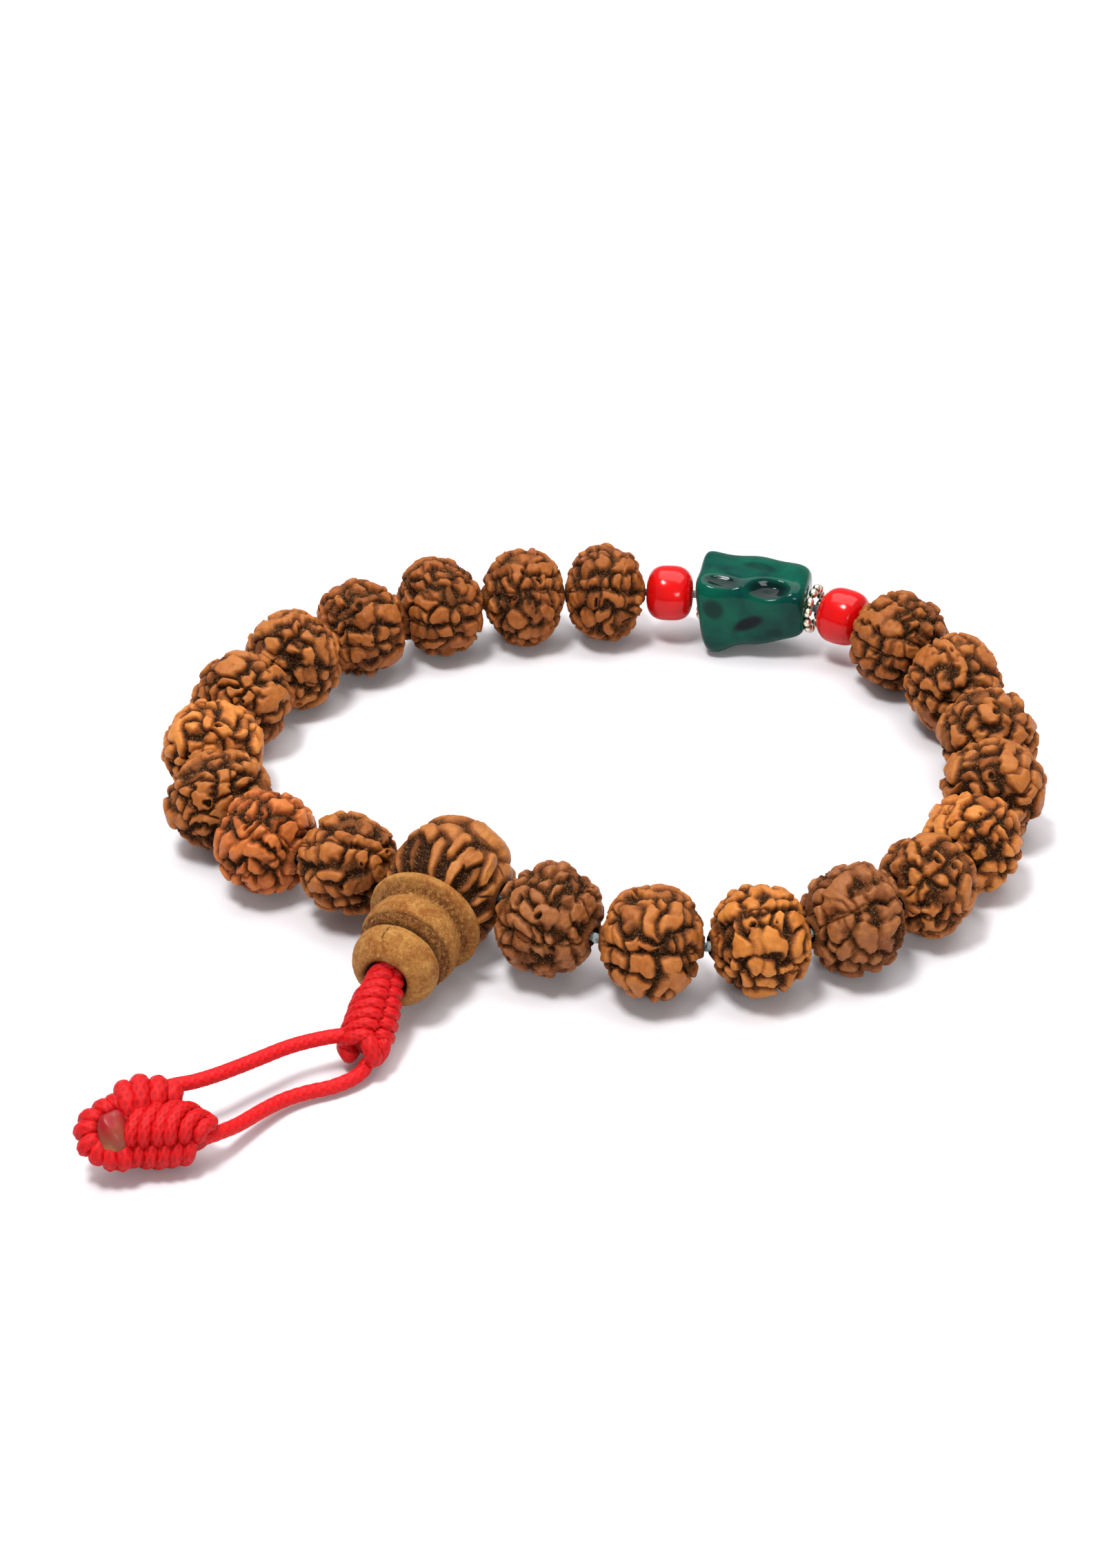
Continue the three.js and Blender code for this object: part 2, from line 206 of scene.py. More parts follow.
def seed_shader(name, top, shoulder, gloss, ground=(110, 62, 26), pit=(70, 36, 13)):
    """Rudraksha: smooth oiled lumps over a dark, fibrous ground, which painted shade deepens to
    near black in the deepest crevices, pits and the hole. Colours are screen values.
    """
    shader = Shader(name, from_screen(*top), 0.5, Specular_IOR_Level=0.14)
    cavity = shader.attribute("cavity")
    grain = shader.math("MULTIPLY", shader.math("SUBTRACT", shader.noise(0.22, 4, 0.7), 0.5), 0.55)
    depth = shader.math("ADD", cavity, grain)
    # darker with depth: the seed's own dark fibrous ground, with painted shade in the deepest stop
    color = shader.ramp(depth, [
        (0.0, top), (0.20, shoulder), (0.44, ground), (0.70, pit), (0.96, (38, 18, 6)),
    ])
    blotch = shader.ramp(shader.noise(2.4, 4, 0.6, 0.6), [(0.36, 0.0), (0.66, 1.0)])
    color = shader.mix(shader.math("MULTIPLY", blotch, 0.5), color, (196, 156, 128), "MULTIPLY")
    pale = shader.ramp(shader.noise(0.8, 3, 0.6), [(0.55, 0.0), (0.8, 0.30)])
    on_lumps = shader.ramp(cavity, [(0.1, 1.0), (0.35, 0.0)])
    color = shader.mix(shader.math("MULTIPLY", pale, on_lumps), color, (212, 148, 78))
    fibres = shader.ramp(shader.noise(0.16, 3, 0.8), [(0.54, 0.0), (0.64, 0.8)])
    in_cracks = shader.ramp(cavity, [(0.40, 0.0), (0.62, 1.0)])
    shader.color(shader.mix(shader.math("MULTIPLY", fibres, in_cracks), color, (140, 98, 56)))
    shader.roughness(shader.ramp(depth, [(0.05, gloss), (0.35, 0.6), (0.7, 0.95)]))
    shader.bump(shader.noise(0.16, 5, 0.7), 0.05, 0.8)
    return shader.material


def wood_shader():
    """Turned wood with short dark pores, browner where the lathe left it rough, with painted shade
    in its grooves, its mouth and its hole, and a dark crack.
    """
    shader = Shader("turned_wood", from_screen(184, 138, 78), 0.75, Specular_IOR_Level=0.15)
    rough = shader.attribute("rough")
    warm = shader.mix(shader.ramp(shader.noise(2.6, 5, 0.65, 0.8), [(0.38, 0.0), (0.62, 1.0)]),
                      (202, 144, 74), (164, 98, 42))
    brown = shader.mix(rough, warm, (118, 66, 26))
    pores = shader.noise(0.42, 6, 0.95)
    share = shader.ramp(pores, [(0.46, 0.0), (0.54, 1.0)])
    speckled = shader.mix(shader.math("MULTIPLY", share, shader.math("ADD", 0.42, rough)),
                          brown, (96, 48, 16))
    flecks = shader.ramp(shader.noise(0.36, 6, 0.95), [(0.54, 0.0), (0.60, 0.6)])
    speckled = shader.mix(flecks, speckled, (226, 180, 106))
    # painted shade in the grooves, mouth and hole, and the dark crack
    shader.color(shader.mix(shader.attribute("cavity"), speckled, (58, 30, 12)))
    shader.roughness(shader.ramp(pores, [(0.4, 0.6), (0.7, 0.9)]))
    shader.bump(pores, 0.2, 1.0)
    return shader.material


def coral_shader():
    shader = Shader("red_glass_coral", from_screen(226, 16, 18), 0.16, Specular_IOR_Level=0.28)
    shader.color(shader.mix(shader.ramp(shader.noise(2.2, 3, 0.5), [(0.35, 0.0), (0.7, 1.0)]),
                            (202, 7, 8), (182, 10, 12)))
    return shader.material


def silver_shader():
    shader = Shader("silver_granules", from_screen(226, 218, 196), 0.34, Metallic=1.0)
    shader.color(shader.mix(shader.attribute("cavity"), (232, 222, 198), (80, 66, 46)))
    shader.bump(shader.noise(0.3, 3, 0.6), 0.01, 0.4)
    return shader.material


def nugget_shader():
    """Deep green glass-like stone with soft darker clouds."""
    shader = Shader("green_nugget", from_screen(0, 88, 70), 0.09, Specular_IOR_Level=0.15)
    cloud = shader.ramp(shader.noise(3.4, 3, 0.5, 0.5), [(0.34, 0.0), (0.68, 1.0)])
    green = shader.mix(cloud, (0, 78, 60), (0, 52, 46))
    # dark clouds and dents of the stone, and painted shade in the bore
    shader.color(shader.mix(shader.attribute("cavity"), green, (0, 12, 15)))
    return shader.material


def cord_shader():
    """Waxed red polyester braid."""
    shader = Shader("waxed_red_cord", from_screen(222, 10, 16), 0.45, Specular_IOR_Level=0.22)
    # painted shade: darker red between the braid's strands, more in the tight knots and on the
    # knots' core
    shade = shader.ramp(shader.attribute("cavity"), [(0.35, 0.0), (1.0, 0.6)])
    fibre = shader.ramp(shader.noise(0.14, 4, 0.7), [(0.40, 0.0), (0.72, 1.0)])
    red = shader.mix(fibre, (186, 4, 9), (222, 16, 20))
    shader.color(shader.mix(shade, red, (118, 0, 6)))
    shader.roughness(shader.ramp(fibre, [(0.0, 0.6), (1.0, 0.35)]))
    shader.bump(shader.noise(0.12, 4, 0.7), 0.04, 1.0)
    return shader.material


def melted_shader():
    shader = Shader("melted_cord_end", from_screen(150, 90, 56), 0.35, Specular_IOR_Level=0.2)
    uneven = shader.math("MULTIPLY", shader.math("SUBTRACT", shader.noise(1.5, 3, 0.5), 0.5), 0.8)
    shader.color(shader.ramp(shader.math("ADD", shader.attribute("cavity"), uneven), [
        (0.25, (170, 122, 62)), (0.55, (128, 66, 48)),
        (0.95, (140, 20, 24)),
    ]))
    return shader.material


def elastic_shader():
    shader = Shader("clear_elastic", from_screen(158, 166, 164), 0.22, IOR=1.45,
                    Transmission_Weight=0.35)
    shader.bump(shader.noise(0.5, 2, 0.5), 0.01, 0.3)
    return shader.material


# -------------------- meshes from arrays

def make_piece(name, points, faces, material, body, slot, replaced, **attributes):
    """One smooth mesh from points in millimetres, in place of CAD nodes. It rides on the CAD body,
    if there is one."""
    mesh = bpy.data.meshes.new(name)
    mesh.from_pydata((points * MM).tolist(), [], faces)
    mesh.materials.append(material)
    for key, values in attributes.items():
        layer = mesh.attributes.new(key, "FLOAT", "POINT")
        layer.data.foreach_set("value", np.asarray(values, np.float32))
    mesh.shade_smooth()
    mesh.update()
    piece = link(bpy.data.objects.new(name, mesh))
    if body:
        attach(piece, body)
    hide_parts(*replaced)
    return piece


def ring_faces(rows, columns, closed_rows=True):
    """Quads of a grid whose columns close on themselves, and whose rows may."""
    i = np.arange(rows if closed_rows else rows - 1)[:, None]
    j = np.arange(columns)[None, :]
    below, beside = (i + 1) % rows, (j + 1) % columns
    quads = [i * columns + j, i * columns + beside, below * columns + beside, below * columns + j]
    return np.stack(quads, -1).reshape(-1, 4)


def facing_out(points, faces):
    """The quads as lists, turned over if they enclose a negative volume."""
    a, b, c, d = (points[faces[:, k]] for k in range(4))
    volume = np.einsum("ij,ij->", a, np.cross(b, c)) + np.einsum("ij,ij->", a, np.cross(c, d))
    return (faces if volume > 0 else faces[:, ::-1]).tolist()


def lofted(rings):
    """Points and faces of a skin over rings of points, with a fan over each end."""
    rows, columns = rings.shape[:2]
    points = np.vstack([rings.reshape(-1, 3), rings[:1].mean(1), rings[-1:].mean(1)])
    j = np.arange(columns)
    beside = (j + 1) % columns
    start, final = rows * columns, (rows - 1) * columns
    faces = ring_faces(rows, columns, closed_rows=False).tolist()
    faces += np.stack([np.full(columns, start), beside, j], 1).tolist()
    faces += np.stack([np.full(columns, start + 1), final + j, final + beside], 1).tolist()
    return points, faces


def unit(v):
    v = np.asarray(v, float)
    return v / np.linalg.norm(v)


def basis(axis, up=UP):
    """(upward, outward, axis): three directions at right angles. Outward is level."""
    axis = unit(axis)
    upward = unit(up - (up @ axis) * axis)
    return np.stack([upward, np.cross(axis, upward), axis])


def waves(key, count, size):
    """A smooth random function of place that runs from about -1 to 1, with features that size."""
    rng = np.random.default_rng(key)
    pitch = unit_rows(rng.normal(size=(count, 3))) * 2 * math.pi / size
    pitch *= rng.uniform(0.6, 1.5, (count, 1))
    phase = rng.uniform(0, 2 * math.pi, count)
    return lambda points: np.sin(points @ pitch.T + phase).sum(1) / math.sqrt(count) / 1.3


def unit_rows(v):
    return v / np.linalg.norm(v, axis=1, keepdims=True)


def full_turn(count):
    """A whole turn in that many equal steps."""
    return np.linspace(0, 2 * math.pi, count, endpoint=False)


def wrapped(angle):
    """An angle brought to within half a turn of 0."""
    return (angle + math.pi) % (2 * math.pi) - math.pi


def cylindrical(reach, turn, along):
    return np.stack([reach * np.cos(turn), reach * np.sin(turn), along], -1)


def plump(angle, power):
    """(across, along) of a squarish oval of half size 1, at angles from its first end."""
    cosine = np.cos(angle)
    return np.abs(np.sin(angle)) ** (2 / power), np.sign(cosine) * np.abs(cosine) ** (2 / power)


def distances(route):
    """How far along a route each of its places lies."""
    return np.concatenate([[0], np.cumsum(np.linalg.norm(np.diff(route, axis=0), axis=1))])


def smooth_step(x):
    x = np.clip(x, 0, 1)
    return x * x * (3 - 2 * x)


# -------------------- where the beads are

spins = {joint["child"]: joint for joint in frame["joints"]}


def joint_place(child):
    return np.array(spins[child]["pos_m"]) / MM


def joint_axis(child):
    return unit(spins[child]["axis"])


def cad_extent(node, centre, axis):
    """A CAD node's lowest and highest reach along an axis, and its largest radius about it."""
    points = np.array([v.co for v in frame["nodes"][node].data.vertices]) / MM - centre
    along = points @ axis
    radius = np.linalg.norm(points - np.outer(along, axis), axis=1)
    return along.min(), along.max(), radius.max()


SEEDS = [f"seed_{i:02d}" for i in range(1, 21)]
COUNTERS = ["coral_bead_right", "silver_spacer_right", "green_nugget_bead",
            "silver_spacer_left", "coral_bead_left"]
THREADED = SEEDS[:10] + COUNTERS + SEEDS[10:]
GURU_CENTRE = joint_place("pagoda_bead")
PAGODA_AXIS = joint_axis("pagoda_bead")


def bead(node):
    """A bead's centre, its hole's axis, its lowest and highest reach along it, and its radius."""
    centre, axis = joint_place(node), joint_axis(node)
    return (centre, axis, *cad_extent(node, centre, axis))


def mouth(node, side):
    """The middle of a bead's hole at its start (-1) or end (1)."""
    centre, axis, low, high, _ = bead(node)
    return centre + axis * (high if side > 0 else low)


GURU_AXIS = unit((mouth(SEEDS[0], -1) - mouth(SEEDS[-1], 1)) * (1, 1, 0))


# -------------------- cord geometry

CORD_RADIUS = 0.6
BRAID_STRANDS = 7
BRAID_PITCH = 0.85  # of one crossing to the next, in millimetres
BRAID_DEPTH = 0.05

# The red loop's route, in millimetres: out of the stem knot, along the rear strand, round inside
# the end knot, and back along the front strand.
LOOP_ROUTE = [
    (-20.1, -40.2, 2.9), (-21.8, -40.4, 3.15), (-24.2, -41.2, 3.2), (-26.0, -42.2, 3.3),
    (-27.7, -43.6, 3.5), (-29.4, -45.0, 3.7), (-31.0, -46.4, 4.0), (-32.7, -47.5, 4.2),
    (-34.4, -48.3, 4.4), (-36.3, -49.4, 4.3), (-37.5, -51.0, 3.9), (-36.9, -52.6, 3.3),
    (-35.0, -53.2, 2.9), (-33.0, -53.0, 2.8), (-31.4, -52.5, 2.75), (-30.2, -51.4, 2.4),
    (-29.0, -49.8, 1.8), (-27.4, -47.7, 1.4), (-25.8, -46.0, 1.1), (-24.0, -44.9, 0.95),
    (-22.2, -44.2, 0.9), (-20.6, -43.3, 1.0), (-19.7, -42.4, 1.2), (-19.3, -41.4, 1.6),
]


def smooth_route(points, step):
    """A Catmull-Rom curve through points, as places a step apart."""
    points = np.asarray(points, float)
    ends = [2 * points[0] - points[1], *points, 2 * points[-1] - points[-2]]
    dense = []
    for p0, p1, p2, p3 in zip(ends, ends[1:], ends[2:], ends[3:]):
        t = np.linspace(0, 1, 24, endpoint=False)[:, None]
        dense.append(0.5 * (2 * p1 + (p2 - p0) * t + (2 * p0 - 5 * p1 + 4 * p2 - p3) * t**2
                            + (3 * p1 - p0 - 3 * p2 + p3) * t**3))
    dense = np.vstack([*dense, points[-1:]])
    length = distances(dense)
    places = np.linspace(0, length[-1], max(int(length[-1] / step), 2) + 1)
    return np.stack([np.interp(places, length, dense[:, k]) for k in range(3)], 1)


def route_frames(route):
    """Two directions square to the route at each place, carried along it without twisting."""
    ahead = unit_rows(np.gradient(route, axis=0))
    side = basis(ahead[0])[0]
    sides = []
    for direction in ahead:
        side = unit(side - (side @ direction) * direction)
        sides.append(side)
    sides = np.array(sides)
    return sides, np.cross(ahead, sides)


def rings_round(route, reach, angle):
    """Rings of points round a route, at a reach from it and angles about it."""
    one, two = route_frames(route)
    return route[:, None] + reach * (
        np.cos(angle)[None, :, None] * one[:, None] + np.sin(angle)[None, :, None] * two[:, None])


def braided_tube(route, radius, sides=30):
    """A round braid along a route: points, faces and how deep each point lies between strands,
    which the cord shader paints as shade.
    """
    along = distances(route)
    angle = full_turn(sides)
    lean = 2 * math.pi * along[:, None] / BRAID_PITCH
    weave = np.maximum(np.cos(BRAID_STRANDS * angle + lean), np.cos(BRAID_STRANDS * angle - lean))
    reach = radius + BRAID_DEPTH * (weave - 0.6)
    to_end = (1 - np.minimum(along, along[-1] - along) / radius).clip(0)
    reach *= np.sqrt((1 - to_end**2).clip(0.02))[:, None]
    rings = rings_round(route, reach[..., None], angle)
    return (*lofted(rings), np.append((0.3 - 0.3 * weave).ravel(), [0.3, 0.3]))


def joined(parts):
    """Several (points, faces, cavity) as one."""
    points, faces, cavity, offset = [], [], [], 0
    for part_points, part_faces, part_cavity in parts:
        points.append(part_points)
        cavity.append(part_cavity)
        faces += [[corner + offset for corner in face] for face in part_faces]
        offset += len(part_points)
    return np.vstack(points), faces, np.concatenate(cavity)


def make_loop(material):
    """The loop, a braid along its route."""
    route = smooth_route(LOOP_ROUTE, 0.08)
    points, faces, cavity = braided_tube(route, CORD_RADIUS)
    piece = make_piece("red_cord_loop", points, faces, material, None, "red_cord",
                       ["tail_strand_rear", "tail_strand_front"], cavity=cavity)
    hinge = joint_place("tail_loop")
    away = np.cross(joint_axis("tail_loop"), UP)
    away = away if away @ (route.mean(0) - hinge) > 0 else -away
    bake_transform(piece)
    return piece, route


# -------------------- rudraksha seeds

SEED_GRID = (150, 236)  # rows from hole to hole, and columns round
BORE_ROWS = 8
SEED_REACH = 0.12  # of a seed's lumps into the gap left beside each CAD seed, in millimetres
PLUMPNESS = 2.2  # 2 is an oval, more is squarer
SEAMS = 5
SEAM_ROW_OFFSET = 0.9  # millimetres from a seam to the row of small lumps beside it
SEAM_ROW_PITCH = 1.6
LUMP_SPACING = 1.5
MERGED_SHARE = 0.5  # of neighbouring lumps that run together

# How far round from the top, towards the outside of the ring, the first seam lies, in degrees.
# The other seeds are turned at random.
FIRST_SEAM = {"seed_01": 76, "seed_02": 67, "seed_03": 22, "seed_04": 40, "seed_05": 30,
              "seed_18": 60, "seed_19": 100, "seed_20": 34, "seed_17": 12}


def to_segments(points, starts, ends):
    """Distance from each point to each segment."""
    run = ends - starts
    share = (points @ run.T - np.einsum("ij,ij->i", starts, run)) / np.einsum("ij,ij->i", run, run)
    share = share.clip(0, 1)
    from_start = (points**2).sum(1)[:, None] - 2 * points @ starts.T + (starts**2).sum(1)
    dot = points @ run.T - np.einsum("ij,ij->i", starts, run)
    squared = from_start - 2 * share * dot + share**2 * np.einsum("ij,ij->i", run, run)
    return np.sqrt(squared.clip(1e-9))


def on_sphere(polar, turn):
    """Unit directions at a polar angle from the start of the bead and an angle round it."""
    polar, turn = np.broadcast_arrays(polar, turn)
    return cylindrical(np.sin(polar), turn, -np.cos(polar))


def seam_lumps(rng, radius, seam_turns):
    """Short lumps in a row on each side of each seam, as segments along it."""
    centres, directions, halves = [], [], []
    for turn in seam_turns:
        for side in (-1, 1):
            polar = 0.5 + rng.uniform(0, 0.25)
            while polar < math.pi - 0.45:
                offset = SEAM_ROW_OFFSET * rng.uniform(0.85, 1.2) / (radius * math.sin(polar))
                centres.append(on_sphere(polar, turn + side * offset))
                directions.append(on_sphere(polar + 0.01, turn + side * offset) - centres[-1])
                halves.append(rng.uniform(0.15, 0.45))
                polar += SEAM_ROW_PITCH * rng.uniform(0.8, 1.3) / radius
    return centres, directions, halves


def free_lumps(rng, radius, centres, seam_turns, spacing):
    """Lumps scattered over the rest of the seed, a spacing or more apart."""
    found, directions, halves = [], [], []
    taken = np.array(centres)
    for _ in range(1500):
        place = unit(rng.normal(size=3))
        if np.linalg.norm(taken - place, axis=1).min() * radius < spacing:
            continue
        turn, polar = math.atan2(place[1], place[0]), math.acos(-place[2])
        gaps = [abs(wrapped(turn - s)) for s in seam_turns]
        if min(gaps) * radius * math.sin(polar) < 1.6 * SEAM_ROW_OFFSET and 0.4 < polar < 2.7:
            continue
        taken = np.vstack([taken, place])
        found.append(place)
        directions.append(np.cross(place, unit(rng.normal(size=3))))
        halves.append(rng.uniform(0.2, 1.2))
    return found, directions, halves


def lump_field(points, starts, ends, rng, merged_share, rows, row_gap):
    """Height in millimetres, never much above 0, of lumps parted by crevices."""
    count = len(starts)
    width = 0.42 * rng.random((count, count)) ** 1.4
    width[:rows, :rows] += row_gap
    depth = rng.uniform(0.3, 0.85, (count, count))
    merged = rng.random((count, count)) < merged_share
    merged[:rows] &= (rng.random((rows, count)) < 0.4) & (row_gap == 0)
    for table in (width, depth, merged):
        table[:] = np.triu(table) + np.triu(table, 1).T
    dome = rng.normal(0, 0.19, count).clip(-0.4, 0.35)
    distance = to_segments(points, starts, ends)
    near = np.argpartition(distance, 6, axis=1)[:, :6]
    near = np.take_along_axis(near, np.argsort(np.take_along_axis(distance, near, 1), 1), 1)
    reach = np.take_along_axis(distance, near, 1)
    height = np.zeros(len(points))
    blend, total = np.zeros(len(points)), np.zeros(len(points))
    for k in range(6):
        share = np.exp(-((reach[:, k] - reach[:, 0]) / 0.22))
        blend += share * dome[near[:, k]]
        total += share
    for k in range(1, 6):
        a, b = near[:, 0], near[:, k]
        edge = (reach[:, k] - reach[:, 0]) / 2
        joined_up = merged[a, b]
        gap = np.where(joined_up, 0.0, width[a, b] / 2)
        drop = np.where(joined_up, 0.14, depth[a, b])
        shoulder = np.where(joined_up, 0.7, 0.55)
        t = ((edge - gap) / shoulder).clip(0, 1)
        height = np.minimum(height, -drop * (1 - t) ** 2.2)
    swell = blend / total - 0.2 * reach[:, 0].clip(0, 1.5) ** 2
    return height + swell * (1 + height).clip(0, 1)


def pits(points, places, sizes, depth, rng):
    """Ragged holes worn into the lumps."""
    height = np.zeros(len(points))
    for place, size in zip(places, sizes):
        stretch = unit(rng.normal(size=3)) * rng.uniform(0, 0.55)
        away = points - place
        away = away - (away @ stretch)[:, None] * stretch
        gap = np.linalg.norm(away, axis=1) / size
        height = np.minimum(height, -depth * smooth_step((1.3 - gap) / 0.55))
    return height


def seed_surface(directions, radius, rng, key, seam_turns, extra=None, spacing=LUMP_SPACING,
                 merged_share=MERGED_SHARE, row_gap=0.0, pit_count=22, wander=0.46):
    """Height over a sphere of a radius, and how deep and dark each place is, from 0 to 1."""
    sphere = directions * radius
    warp = np.stack([waves((key, 40 + k), 9, 3.4)(sphere) for k in range(3)], 1)
    ripple = np.stack([waves((key, 50 + k), 9, 1.1)(sphere) for k in range(3)], 1)
    warped = sphere + wander * (warp + 0.32 * ripple)
    centres, along, halves = seam_lumps(rng, radius, seam_turns)
    if extra is not None:
        centres, along, halves = extra(rng, radius)
    rows = len(centres)
    more = free_lumps(rng, radius, centres, seam_turns, spacing)
    centres, along, halves = (np.array(list(first) + list(second))
                              for first, second in zip((centres, along, halves), more))
    run = unit_rows(along) * halves[:, None]
    starts, ends = centres * radius - run, centres * radius + run
    height = lump_field(warped, starts, ends, rng, merged_share, rows, row_gap)
    pit_places = unit_rows(rng.normal(size=(pit_count, 3))) * radius
    pit_sizes = rng.uniform(0.18, 0.44, pit_count)
    height = np.minimum(height, pits(warped, pit_places, pit_sizes, 0.75, rng))
    turn = np.arctan2(directions[:, 1], directions[:, 0])
    polar = np.arccos((-directions[:, 2]).clip(-1, 1))
    wobble = 0.05 * waves((key, 60), 6, 3.0)(sphere)
    seam = np.full(len(directions), 9.0)
    for seam_turn in seam_turns:
        gap = np.abs(wrapped(turn - seam_turn + wobble))
        seam = np.minimum(seam, gap * radius * np.sin(polar))
    groove = np.exp(-((seam / 0.11) ** 2))
    crevice = smooth_step((-height - 0.28) / 0.3)
    cavity = ((-height - 0.14) / 0.55).clip(0, 1)
    cavity = np.maximum(cavity, 0.75 * groove)
    height = height - 0.12 * np.exp(-((seam / 0.8) ** 2)) - 0.24 * groove * (1 + height).clip(0, 1)
    fibre = rng.normal(size=len(directions))
    height += crevice * 0.07 * fibre
    height += 0.04 * waves((key, 70), 14, 0.9)(sphere) * (1 - crevice)
    height += 0.16 * waves((key, 71), 8, 5.0)(sphere)
    return height, cavity


def bead_grid(low, high, radius, bore, rows):
    """Polar angles of a plump bead's rows, and the (radius, along) of its outside and its hole."""
    start = math.asin((bore / radius) ** (PLUMPNESS / 2))
    polar = np.linspace(start, math.pi - start, rows)
    low, high = low - SEED_REACH, high + SEED_REACH
    middle, half = (low + high) / 2, (high - low) / 2
    across, along = plump(polar, PLUMPNESS)
    outer = np.stack([radius * across, middle - half * along / along[0]], 1)
    inner = np.stack([np.full(BORE_ROWS, bore), np.linspace(high, low, BORE_ROWS + 2)[1:-1]], 1)
    return polar, outer, inner


def seed_piece(name, node, place, bore, body, slot, material, grid, key, **look):
    """A drilled rudraksha of lumps, crevices and seams. place is what bead() gives."""
    centre, axis, low, high, radius = place
    radius = radius * SEED_SWELL
    rows, columns = grid
    polar, outer, inner = bead_grid(low, high, radius, bore, rows)
    turn = full_turn(columns)
    rng = np.random.default_rng(key)
    first = math.radians(FIRST_SEAM.get(node, float(rng.uniform(0, 72))))
    seam_turns = [first + 2 * math.pi * k / SEAMS + rng.uniform(-0.07, 0.07) for k in range(SEAMS)]
    directions = on_sphere(polar[:, None], turn[None, :]).reshape(-1, 3)
    height, cavity = seed_surface(directions, radius, rng, key, seam_turns, **look)
    height = np.where(height > 0, height * np.sin(polar).repeat(columns), height)
    taper = smooth_step((outer[:, 0] - bore) / 0.8).repeat(columns)
    level = np.stack([np.cos(turn), np.sin(turn), np.zeros(columns)], 1)
    skin, hole = ((part[:, None, :1] * level[None] + part[:, None, 1:] * UP).reshape(-1, 3)
                  for part in (outer, inner))
    local = np.vstack([skin + directions * (height * taper)[:, None], hole])
    # painted shade: the mouth of the hole and the hole itself are painted dark
    cavity = np.concatenate([np.maximum(cavity * taper, 0.7 * (1 - taper)), np.ones(len(hole))])
    points = centre + local @ basis(axis)
    faces = facing_out(points, ring_faces(rows + BORE_ROWS, columns))
    return make_piece(name, points, faces, material, body, slot, [node], cavity=cavity)


SEED_BORE = 0.8
SEED_SWELL = 1.03  # the CAD seed's lumps lie inside the real seed's outline


# The tones of seeds: the colour of a lump's top and of its shoulder, how rough the top is, and
# where they aren't the usual ones, the colours of the ground between lumps and of the pits.
TONES = {
    "rudraksha": ((170, 104, 48), (144, 83, 36), 0.36),
    "rudraksha_dull": ((150, 94, 52), (124, 73, 38), 0.38),
    "rudraksha_dark": ((156, 91, 40), (130, 72, 30), 0.44),
    "rudraksha_golden": ((190, 120, 52), (164, 97, 40), 0.32),
    "rudraksha_honey": ((200, 128, 60), (180, 106, 46), 0.32, (146, 84, 36), (102, 56, 24)),
    "rudraksha_orange": ((190, 110, 54), (168, 90, 42), 0.28, (146, 76, 34), (108, 56, 24)),
}
SEEDS_IN_TONE = {"dull": (1, 4), "dark": (10, 11, 12, 13, 14), "golden": (3,), "honey": (6, 17),
                 "orange": (19,)}


def make_seeds():
    materials = {name: seed_shader(name, *tone) for name, tone in TONES.items()}
    tones = {n: f"rudraksha_{tone}" for tone, numbers in SEEDS_IN_TONE.items() for n in numbers}
    for number, node in enumerate(SEEDS, 1):
        material = materials[tones.get(number, "rudraksha")]
        seed_piece(f"rudraksha_{number:02d}", node, bead(node), SEED_BORE, node, "seed", material,
                   SEED_GRID, number)


GURU_GRID = (190, 280)
GURU_BORE = 1.5
GURU_KEY = 77  # of its random numbers
RIDGES = 15


def guru_ridges(rng, radius):
    """Long ridges that run towards the pagoda bead, as segments on a unit sphere."""
    local = PAGODA_AXIS @ basis(GURU_AXIS).T
    one, two, _ = basis(local, up=np.array((0.3, 0.1, 1.0)))
    centres, along, halves = [], [], []
    for k in range(RIDGES):
        turn = 2 * math.pi * (k + rng.uniform(-0.1, 0.1)) / RIDGES
        away = 1.0 + rng.uniform(-0.05, 0.08)
        round_axis = math.cos(turn) * one + math.sin(turn) * two
        centres.append(math.cos(away) * local + math.sin(away) * round_axis)
        along.append(math.cos(away) * round_axis - math.sin(away) * local)
        halves.append(rng.uniform(2.2, 2.8))
    return centres, along, halves


def make_guru():
    place = (GURU_CENTRE, GURU_AXIS, *cad_extent("guru_seed", GURU_CENTRE, GURU_AXIS))
    material = seed_shader("guru_rudraksha", (172, 110, 54), (144, 86, 40), 0.36)
    seed_piece("guru_rudraksha", "guru_seed", place, GURU_BORE, "ring", "guru_seed", material,
               GURU_GRID, GURU_KEY,
               extra=guru_ridges, spacing=1.9, merged_share=0.7, row_gap=0.75,
               wander=0.16, pit_count=10)


# -------------------- beads turned about their hole

def turned_piece(name, node, outline, columns, centre, axis, reshape, material, body, slot,
                 slip=None):
    """A piece from a closed (distance along the axis, radius) outline. reshape(along, turn, reach)
    gives the new reach of each place and its attributes; slip, how far it moves along the axis."""
    outline = np.asarray(outline, float)
    along, reach = np.repeat(outline, columns, axis=0).T
    turns = np.tile(full_turn(columns), len(outline))
    reach, attributes = reshape(along, turns, reach)
    if slip:
        along = along + slip(along, turns, reach)
    points = centre + cylindrical(reach, turns, along) @ basis(axis)
    faces = facing_out(points, ring_faces(len(outline), columns))
    return make_piece(name, points, faces, material, body, slot, [node], **attributes)


def refined(outline, step):
    """An outline's straight runs cut into steps."""
    outline = np.asarray(outline, float)
    closed = np.vstack([outline, outline[:1]])
    length = distances(closed)
    places = np.linspace(0, length[-1], int(length[-1] / step), endpoint=False)
    return np.stack([np.interp(places, length, closed[:, k]) for k in range(2)], 1)


def arc(centre, radius, start, end, steps):
    """Points on an arc in the (along, radius) plane, with angles in degrees."""
    angle = np.radians(np.linspace(start, end, steps))
    return [(centre[0] + radius * math.cos(a), centre[1] + radius * math.sin(a)) for a in angle]


